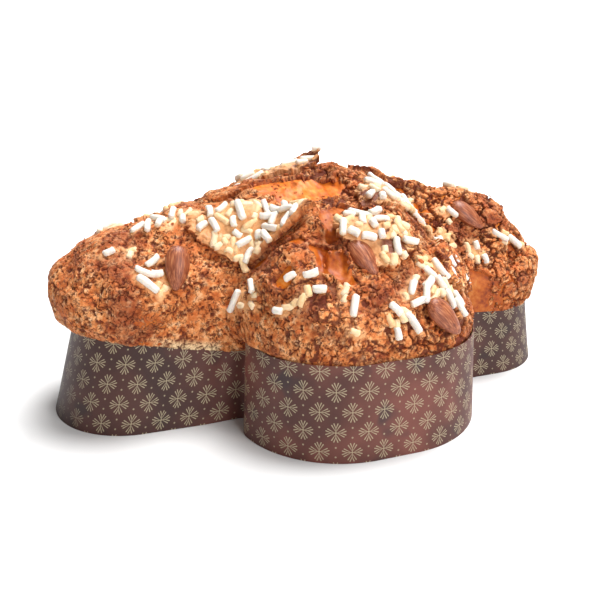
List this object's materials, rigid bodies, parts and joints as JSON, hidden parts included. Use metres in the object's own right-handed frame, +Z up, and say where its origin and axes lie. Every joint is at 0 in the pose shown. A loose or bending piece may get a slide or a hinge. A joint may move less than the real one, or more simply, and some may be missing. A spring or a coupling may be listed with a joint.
{
  "type": "colomba cake",
  "caption": "Dove-shaped festive cake in its printed paper case, with cracked icing, raised icing plates, sugar rods and whole almonds on top.",
  "frame": {"origin": "on the underside of the paper case, below the middle of the dove where body and wings cross", "axes": "+X from tail to head along the body, +Y across to one wing, +Z up"},
  "size_m": [0.31, 0.224, 0.1406],
  "materials": {
    "crust": "baked dough and cracked, matt almond icing, satin where the dough is bare",
    "sugar": "white pressed sugar, powdery and slightly translucent",
    "paper": "dark brown glossy-coated baking paper with a pale gold printed sprig pattern",
    "almond": "toasted brown almond skin, finely wrinkled and satin"
  },
  "bodies": {
    "root": {"cake": "crust", "paper_case": "paper", "almond_1": "almond", "almond_2": "almond", "almond_3": "almond", "almond_4": "almond", "almond_5": "almond", "almond_6": "almond", "almond_7": "almond"}
  },
  "joints": []
}
